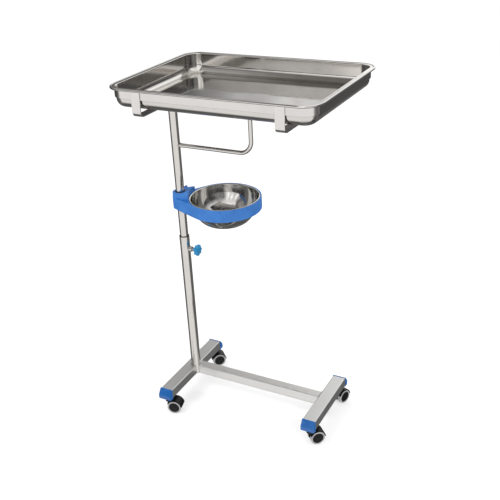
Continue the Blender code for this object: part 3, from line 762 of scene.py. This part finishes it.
def holder():
    """The moulded ring that runs into a taller block round the column, with the screw's boss."""
    out = middle("bowl").xy.to_3d() - AXIS
    reach, yaw = out.length, math.atan2(out.y, out.x)
    bottom, top = low("ring_holder").z, high("ring_holder").z
    band_top, block_bottom = bottom + RING_HEIGHT, bottom + BLOCK_START
    band = baked(plate(tear_outline(COLLAR_RADIUS, RING_OUTER, reach, 24, 130), RING_HEIGHT, 0.0012, 3))
    moved(band, Matrix.Translation((0, 0, (band_top + bottom) / 2)))
    block = tear_outline(COLLAR_RADIUS - 0.001, BLOCK_RADIUS, BLOCK_REACH, 24, 40)
    block = baked(plate(block, top - block_bottom, 0.0016, 3))
    moved(block, Matrix.Translation((0, 0, (top + block_bottom) / 2)))
    side = along((0, 1, 0), (0, 0, middle("clamp_stud").z))
    stub = moved(turned(rod_profile(0.0085, 0.018, 0.041, 0.0008), 64), side)
    above, below, seat = top + 0.01, bottom - 0.01, band_top - SEAT_DEPTH
    room = [(0, above), (RING_SEAT, above), (RING_SEAT, seat)]
    room += [(RING_BORE, seat), (RING_BORE, below), (0, below)]
    room = rounded(room, [0, 0, 0.0004, 0.0010, 0, 0], 3, closed=False)
    room = moved(turned(room, 160), Matrix.Translation((reach, 0, 0)))
    hole = turned(rod_profile(LINER_ROOM, bottom - 0.02, top + 0.02, 0.0), 90)
    screw_hole = moved(turned(rod_profile(SCREW_BORE, 0.008, 0.06, 0.0), 40), side)
    obj = join(band, adds=[block, stub], cuts=[screw_hole, hole, room])
    moved(obj, Matrix.Translation(AXIS) @ Matrix.Rotation(yaw, 4, "Z"))
    put(obj, "ring_holder", BLUE_RING, "ring_holder", 32)


# Base


def bar(node, along_y, look, cuts=()):
    """A rectangular tube with rounded corners and lightly broken ends."""
    size, centre = high(node) - low(node), middle(node)
    length, width = (size.y, size.x) if along_y else (size.x, size.y)
    outer = round_corners(width / 2, size.z / 2, BAR_CORNER, 6)
    inner = round_corners(width / 2 - BAR_WALL, size.z / 2 - BAR_WALL, BAR_INNER_CORNER, 6)
    edge = 0.0002
    less = [(x * (1 - edge / width * 2), z * (1 - edge / size.z * 2)) for x, z in outer]
    half = length / 2
    rings = [(outer, -half + edge), (outer, half - edge), (less, half)]
    rings += [(inner, half), (inner, -half), (less, -half)]
    obj = loft([[(x, y, z) for x, z in ring] for ring, y in rings], closed=True)
    if not along_y:
        moved(obj, Matrix.Rotation(-math.pi / 2, 4, "Z"))
    moved(obj, Matrix.Translation(centre))
    if cuts:
        obj = join(obj, cuts=cuts)
    put(obj, node, look, "base")


def base():
    for side, node in (("left", "left_crossbar"), ("right", "right_crossbar")):
        holes = []
        for end in ("near", "far"):
            place = middle(f"socket_{side}_{end}")
            hole = turned(rod_profile(SOCKET_HOLE, -0.01, 0.01, 0.0), 48)
            holes.append(moved(hole, Matrix.Translation((place.x, place.y, low(node).z))))
        if side == "left":
            holes.append(column_room())
        bar(node, True, BRUSHED_Y, holes)
    bar("spine_bar", False, BRUSHED_X, [column_room()])
    seam("spine_weld_left", low("spine_bar").x, [column_room(0.0008)])
    seam("spine_weld_right", high("spine_bar").x)
    for side, end in CORNERS:
        cap(f"cap_{side}_{end}", -1 if end == "near" else 1)
    for side, end in CORNERS:
        caster(f"{side}_{end}")


def column_room(extra=0.0):
    """The round room in which the column's foot stands, in the inner corner of the base."""
    bottom, top = low("spine_bar").z - 0.01, high("spine_bar").z + 0.01
    room = turned(rod_profile(across("column_tube") + GAP + extra, bottom, top, 0.0))
    return moved(room, Matrix.Translation(AXIS))


def seam(name, x, cuts=()):
    """A thin rippled weld round the spine bar's end, on the face of a crossbar."""
    centre, size = middle("spine_bar"), high("spine_bar") - low("spine_bar")
    loop = round_corners(size.y / 2 + 0.0002, size.z / 2 - 0.0004, 0.003, 5)
    points = []
    for i, (y, z) in enumerate(loop):
        ny, nz = loop[(i + 1) % len(loop)]
        parts = max(1, int(math.hypot(ny - y, nz - z) / 0.0008))
        points += [(y + (ny - y) * k / parts, z + (nz - z) * k / parts) for k in range(parts)]
    rings = []
    count = len(points)
    for i, (y, z) in enumerate(points):
        before, after = Vector(points[i - 1]), Vector(points[(i + 1) % count])
        ahead = (after - before).normalized()
        out = Vector((ahead.y, -ahead.x))
        size_here = 0.0010 * (1 + 0.18 * math.sin(i * 1.3))
        ring = []
        for k in range(8):
            a = 2 * math.pi * k / 8
            off = out * size_here * math.cos(a)
            ring.append((x + size_here * math.sin(a), centre.y + y + off.x, centre.z + z + off.y))
        rings.append(ring)
    bead = loft(rings, closed=True)
    if cuts:
        bead = join(bead, cuts=cuts)
    put_extra(bead, name, WELD, "base")


def cap(node, side):
    """A blue end cap: an upper face that slopes out to a ridge, an upright lower face and a plug."""
    size, centre = high(node) - low(node), middle(node)
    bar_node = "left_crossbar" if "left" in node else "right_crossbar"
    half = size.z / 2
    depth = (high(node).y - high(bar_node).y) if side > 0 else (low(bar_node).y - low(node).y)
    profile = [(0, -half), (depth - 0.0012, -half), (depth, -0.002), (0.0030, half), (0, half)]
    outline = rounded(profile, [0.0003, 0.0022, 0.0012, 0.0022, 0.0003], 6)
    head = baked(plate(outline, size.x, 0.0010, 3))
    room = BAR_WALL + 0.0006
    inner = middle(bar_node)
    bar_size = high(bar_node) - low(bar_node)
    plug_outline = round_corners(bar_size.x / 2 - room, bar_size.z / 2 - room, 0.001, 4)
    plug = baked(plate(plug_outline, 0.0048, 0.0008, 2))
    moved(plug, Matrix.Translation((0, 0.0014, 0)) @ Matrix.Rotation(math.pi / 2, 4, "X"))
    upright = Matrix.Rotation(-math.pi / 2, 4, "Z") @ Matrix.Rotation(math.pi / 2, 4, "X")
    moved(head, Matrix.Translation((0, -GAP, 0)) @ upright)
    obj = join(head, adds=[plug])
    turn = Matrix.Rotation(math.pi if side > 0 else 0, 4, "Z")
    end = high(bar_node).y if side > 0 else low(bar_node).y
    moved(obj, Matrix.Translation((centre.x, end, inner.z)) @ turn)
    put(obj, node, BLUE_CAP, "base", 30)


# Casters

WHEEL_INNER = 0.0043
WHEEL_OUTER = 0.0175
WHEEL_RADIUS = 0.0215
WHEEL_ROOM = 0.0007
CORE_RADIUS = 0.0165
AXLE_RADIUS = 0.0030
TRAIL = 0.0155
STEM_RADIUS = 0.0050
STEM_BOTTOM = 0.0460
HOOD_WALL = 0.0026
HOOD_WEB = 0.0036
HOOD_BOTTOM = 0.0387


def core():
    """A wheel's core: a dished disc with a raised hub cap and rim, and a blind bore for the axle."""
    inner, outer, bore = WHEEL_INNER, WHEEL_OUTER, AXLE_RADIUS + GAP
    face = [
        (0, outer), (0.0036, outer), (0.0043, outer - 0.0003), (0.0047, outer - 0.0011),
        (0.0055, outer - 0.0014), (0.0112, outer - 0.0012), (0.0120, outer - 0.0009),
        (0.0127, outer - 0.0003), (0.0136, outer - 0.0002), (0.0146, outer - 0.0002),
        (0.0156, outer - 0.0003), (0.0162, outer - 0.0007), (CORE_RADIUS, outer - 0.0014),
    ]
    back = [
        (CORE_RADIUS, inner + 0.0006), (CORE_RADIUS - 0.0006, inner), (0.0145, inner),
        (0.0138, inner + 0.0030), (0.0075, inner + 0.0030), (0.0068, inner), (bore, inner),
        (bore, outer - 0.004), (0, outer - 0.004),
    ]
    return turned(face + back, 80)


def tread():
    inner, outer, base_radius = WHEEL_INNER + 0.0008, WHEEL_OUTER - 0.0006, CORE_RADIUS + GAP
    middle_z = (inner + outer) / 2
    profile = [
        (base_radius, outer), (WHEEL_RADIUS, outer), (WHEEL_RADIUS, middle_z + 0.0006),
        (WHEEL_RADIUS - 0.0006, middle_z), (WHEEL_RADIUS, middle_z - 0.0006), (WHEEL_RADIUS, inner),
        (base_radius, inner),
    ]
    return turned(rounded(profile, [0.0004, 0.0016, 0.0003, 0.0003, 0.0003, 0.0016, 0.0004], 5), 96)


def about_hub(obj):
    return moved(obj, Matrix.Translation((TRAIL, 0, WHEEL_RADIUS)) @ Matrix.Rotation(math.pi / 2, 4, "X"))


def hood():
    """The caster's body about its stem: a fender over both wheels, a web between them and a boss."""
    boss_top = low("left_crossbar").z - GAP - 0.0005
    room = WHEEL_RADIUS + WHEEL_ROOM
    inner, outer = room + 0.0002, room + HOOD_WALL
    profile = [(0, boss_top), (0.0100, boss_top), (0.0108, boss_top - 0.0050)]
    profile += [(0.0142, HOOD_BOTTOM), (0, HOOD_BOTTOM)]
    stub = turned(rounded(profile, [0, 0.0010, 0.0080, 0, 0], 6, closed=False), 64)
    section = [(inner, -WHEEL_OUTER), (outer, -WHEEL_OUTER), (outer, WHEEL_OUTER), (inner, WHEEL_OUTER)]
    section = rounded(section, [0.0003, 0.0012, 0.0012, 0.0003], 4)
    rings = []
    for i in range(49):
        t = math.radians(6 + 146 * i / 48)
        rings.append([(r * math.cos(t), y, r * math.sin(t)) for r, y in section])
    fender = moved(loft(rings), Matrix.Translation((TRAIL, 0, WHEEL_RADIUS)))
    reach, foot_x, foot_z = room + HOOD_WALL / 2, 0.76 * WHEEL_RADIUS, -0.40 * WHEEL_RADIUS
    arc = [(reach * math.cos(math.radians(a)), reach * math.sin(math.radians(a))) for a in range(0, 181, 4)]
    outline = rounded(arc + [(-foot_x, foot_z), (foot_x, foot_z)], [0] * len(arc) + [0.006, 0.006], 6)
    web = about_hub(baked(plate(outline, 2 * HOOD_WEB, 0.0004)))
    wheels = about_hub(turned(rod_profile(room, -WHEEL_OUTER - 0.01, WHEEL_OUTER + 0.01, 0.0), 96))
    stub = join(stub, cuts=[wheels])
    bore = turned(rod_profile(STEM_RADIUS + GAP, STEM_BOTTOM - 0.0005, 0.07, 0.0), 40)
    axle_hole = about_hub(turned(rod_profile(AXLE_RADIUS + GAP, -0.01, 0.01, 0.0), 32))
    return join(stub, adds=[fender, web], cuts=[bore, axle_hole])


SHARED = {}


def caster(tag):
    if not SHARED:
        SHARED.update({"hood": hood().data, "core": core().data, "tread": tread().data})
    stem = Vector(JOINTS[f"swivel_{tag}"]["pos_m"]).xy.to_3d()
    hub = Vector(JOINTS[f"roll_{tag}_a"]["pos_m"])
    yaw = math.atan2(hub.y - stem.y, hub.x - stem.x)
    facing = Matrix.Rotation(yaw, 4, "Z")
    shell = bpy.data.objects.new("hood", SHARED["hood"].copy())
    moved(shell, Matrix.Translation(stem) @ facing)
    put(shell, f"hood_{tag}", BLACK, f"swivel_{tag}")
    parts = (("core", BLACK, "black_nylon"), ("tread", GREY_RUBBER, "grey_tread_rubber"))
    for wheel, turn in (("a", math.pi / 2), ("b", -math.pi / 2)):
        there = Matrix.Translation(hub) @ facing @ Matrix.Rotation(turn, 4, "X")
        for part, look, slot in parts:
            piece = bpy.data.objects.new(part, SHARED[part].copy())
            put(moved(piece, there), f"{part}_{tag}_{wheel}", look, f"wheel_{tag}_{wheel}")


# Pieces that keep their CAD shape: internal or all but hidden


def keep_internal():
    for name, obj in frame["nodes"].items():
        if obj.hide_render:
            continue
        look = DARK_BUSH if name == "guide_plug" else ZINC
        for slot in obj.material_slots:
            slot.material = look


# Setting


def look_at(obj, target):
    obj.rotation_euler = (Vector(target) - obj.location).to_track_quat("-Z", "Y").to_euler()


def panel(name, place, target, size, energy, tint=(1, 1, 1)):
    data = bpy.data.lights.new(name, "AREA")
    data.shape = "RECTANGLE"
    data.size, data.size_y = size
    data.energy = energy
    data.color = tint
    lamp = bpy.data.objects.new(name, data)
    lamp.location = place
    lamp.visible_glossy = False
    bpy.context.scene.collection.objects.link(lamp)
    look_at(lamp, target)
    return lamp


def studio_floor():
    made, graph, shader = new_material("pale_floor")
    place = graph.add("ShaderNodeTexCoord").outputs["Object"]
    cloud = graph.noise(place, 2.0, 3.0, 0.5)
    colour = graph.blend(cloud, (0.54, 0.54, 0.54), (0.57, 0.57, 0.57))
    graph.tree.links.new(colour, shader.inputs["Base Color"])
    shader.inputs["Emission Color"].default_value = (1.0, 1.0, 1.0, 1.0)
    shader.inputs["Emission Strength"].default_value = 0.45
    shader.inputs["Roughness"].default_value = 0.9
    shader.inputs["Specular IOR Level"].default_value = 0.0
    floor = plate(round_corners(9.0, 9.0, 0.5, 4), 0.02)
    floor.name = "studio_floor"
    moved(floor, Matrix.Translation((0, 0, FLOOR_Z - 0.0102)))
    floor.data.materials.append(made)
    floor.visible_glossy = False
    bpy.context.scene.collection.objects.link(floor)


def studio_world():
    """White for the camera and for soft light; mirrored in steel it is a room with lit and dark sides."""
    world = bpy.data.worlds.new("studio")
    bpy.context.scene.world = world
    world.use_nodes = True
    graph = Graph(world.node_tree)
    graph.tree.nodes.clear()
    way = graph.add("ShaderNodeTexCoord").outputs["Generated"]
    parts = graph.add("ShaderNodeSeparateXYZ", {"Vector": way})
    x, y, z = parts.outputs
    azimuth = graph.add("ShaderNodeMath", {0: y, 1: x}, operation="ARCTAN2").outputs[0]
    angles = graph.add("ShaderNodeCombineXYZ", {"X": azimuth, "Y": z}).outputs["Vector"]
    uneven = graph.noise(graph.stretched(angles, (1.6, 2.2, 1.0)), 1.0, 3.0, 0.6)
    blotches = graph.noise(graph.stretched(angles, (7.0, 2.0, 1.0)), 1.0, 3.0, 0.6)
    facing = graph.math("ADD", graph.math("MULTIPLY", x, 0.30), graph.math("MULTIPLY", y, -0.95))
    not_right, not_left = graph.spread(x, 0.28, 0.46, 1.0, 0.0), graph.spread(x, -0.52, -0.36, 0.0, 1.0)
    inner = graph.math("MULTIPLY", not_right, not_left)
    dark = graph.spread(uneven, 0.38, 0.66, 0.03, 0.26)
    bright = graph.spread(blotches, 0.38, 0.60, 0.80, 1.90)
    front = graph.spread(facing, 0.60, 0.80, 0.0, 1.0)
    front = graph.math("MULTIPLY", front, graph.spread(x, 0.30, 0.50, 1.0, 0.1))
    behind = graph.math("MULTIPLY", graph.spread(facing, -0.55, -0.75, 0.0, 1.0), inner)
    lit = graph.math("MAXIMUM", front, behind)
    room = graph.blend(lit, grey_of(graph, dark), grey_of(graph, bright))
    below = graph.spread(z, -0.95, -0.70, 0.30, 1.05)
    near_side = graph.spread(facing, 0.18, 0.42, 0.0, 1.0)
    ground = graph.blend(near_side, grey_of(graph, dark), grey_of(graph, below))
    near_lamp, far_lamp = graph.spread(x, -0.33, -0.24, 0.0, 1.0), graph.spread(x, -0.40, -0.52, 0.0, 0.4)
    lamps = graph.math("MAXIMUM", near_lamp, far_lamp)
    lit_ceiling = grey_of(graph, graph.spread(uneven, 0.35, 0.65, 0.85, 1.45))
    ceiling = graph.blend(lamps, (0.20, 0.19, 0.18), lit_ceiling)
    above = graph.spread(z, -0.04, 0.04, 0.0, 1.0)
    high_up = graph.spread(z, 0.40, 0.66, 0.0, 1.0)
    value = graph.blend(above, ground, room)
    value = graph.blend(high_up, value, ceiling)
    paths = graph.add("ShaderNodeLightPath")
    mirrored = graph.add("ShaderNodeBackground", {"Color": value, "Strength": 1.0}).outputs[0]
    plain = graph.add("ShaderNodeBackground", {"Color": (1, 1, 1, 1), "Strength": 1.03}).outputs[0]
    choice = {0: paths.outputs["Is Glossy Ray"], 1: plain, 2: mirrored}
    mixed = graph.add("ShaderNodeMixShader", choice).outputs[0]
    graph.add("ShaderNodeOutputWorld", {"Surface": mixed})


def grey_of(graph, value):
    return graph.add("ShaderNodeCombineColor", {"Red": value, "Green": value, "Blue": value}).outputs["Color"]


CAMERA_AT = (0.9770, -1.7922, 1.5447)
CAMERA_YAW = 28.824
CAMERA_PITCH = -26.215
CAMERA_ROLL = -3.066
CAMERA_LENS = 57.246


def camera():
    data = bpy.data.cameras.new("camera")
    data.sensor_width = 36.0
    data.lens = CAMERA_LENS
    data.clip_start = 0.01
    view = bpy.data.objects.new("camera", data)
    yaw, pitch, roll = (math.radians(a) for a in (CAMERA_YAW, CAMERA_PITCH, CAMERA_ROLL))
    forward = Vector((-math.sin(yaw) * math.cos(pitch), math.cos(yaw) * math.cos(pitch), math.sin(pitch)))
    right = Vector((math.cos(yaw), math.sin(yaw), 0))
    up = right.cross(forward)
    right, up = right * math.cos(roll) + up * math.sin(roll), up * math.cos(roll) - right * math.sin(roll)
    turn = Matrix((right, up, -forward)).transposed().to_4x4()
    view.matrix_world = Matrix.Translation(CAMERA_AT) @ turn
    bpy.context.scene.collection.objects.link(view)
    bpy.context.scene.camera = view


def setting():
    studio_floor()
    studio_world()
    panel("key", (-1.1, -1.3, 2.6), (0, 0, 0.6), (1.2, 0.9), 26)
    panel("fill", (1.9, -1.2, 1.9), (0, 0, 0.6), (0.7, 1.1), 9)
    panel("back", (0.4, 1.9, 2.3), (0, 0, 0.8), (1.4, 0.5), 14)
    camera()
    bpy.context.scene.view_settings.view_transform = "Standard"


def clamp_way():
    way = Vector(JOINTS["clamp_turn"]["axis"])
    return way.normalized()


tray()
cradle()
column()
liner()
boss()
screw("lock", "lock_screw", (1, 0, 0), LOCK_KNOB_START, LOCK_STUD_START, LOCK_PAD_SPAN, "lock_pad")
screw("clamp", "clamp_screw", clamp_way(), CLAMP_KNOB_START, CLAMP_STUD_START, CLAMP_PAD_SPAN, "clamp_pad")
holder()
bowl()
base()
keep_internal()
setting()
